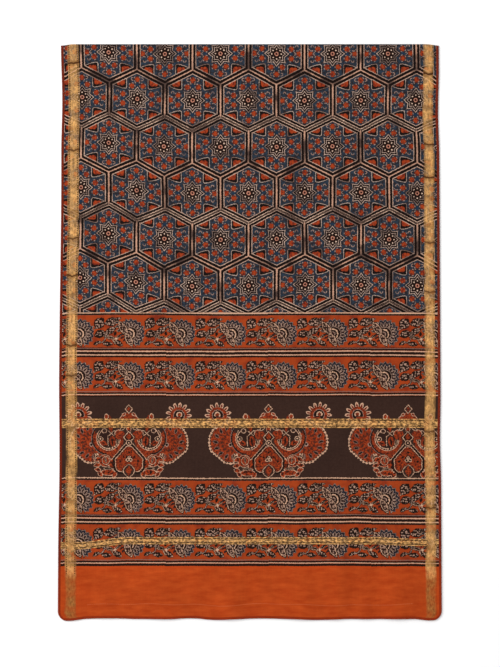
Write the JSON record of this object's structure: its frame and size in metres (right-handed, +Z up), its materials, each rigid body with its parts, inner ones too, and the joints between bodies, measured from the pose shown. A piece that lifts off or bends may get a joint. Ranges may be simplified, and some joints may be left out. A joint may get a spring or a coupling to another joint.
{
  "type": "chanderi scarf",
  "caption": "Block-printed silk and cotton scarf with woven gold-thread bands, folded in half across its length and lying flat.",
  "frame": {"origin": "centre of the folded cloth's outline, on the surface that it lies on", "axes": "+X across the width of the cloth, +Y along its length toward the fold, +Z up from the surface"},
  "size_m": [0.5598, 0.8422, 0.0067],
  "materials": {
    "printed_cloth": "matte"
  },
  "bodies": {
    "root": {"scarf": "printed_cloth"}
  },
  "joints": []
}
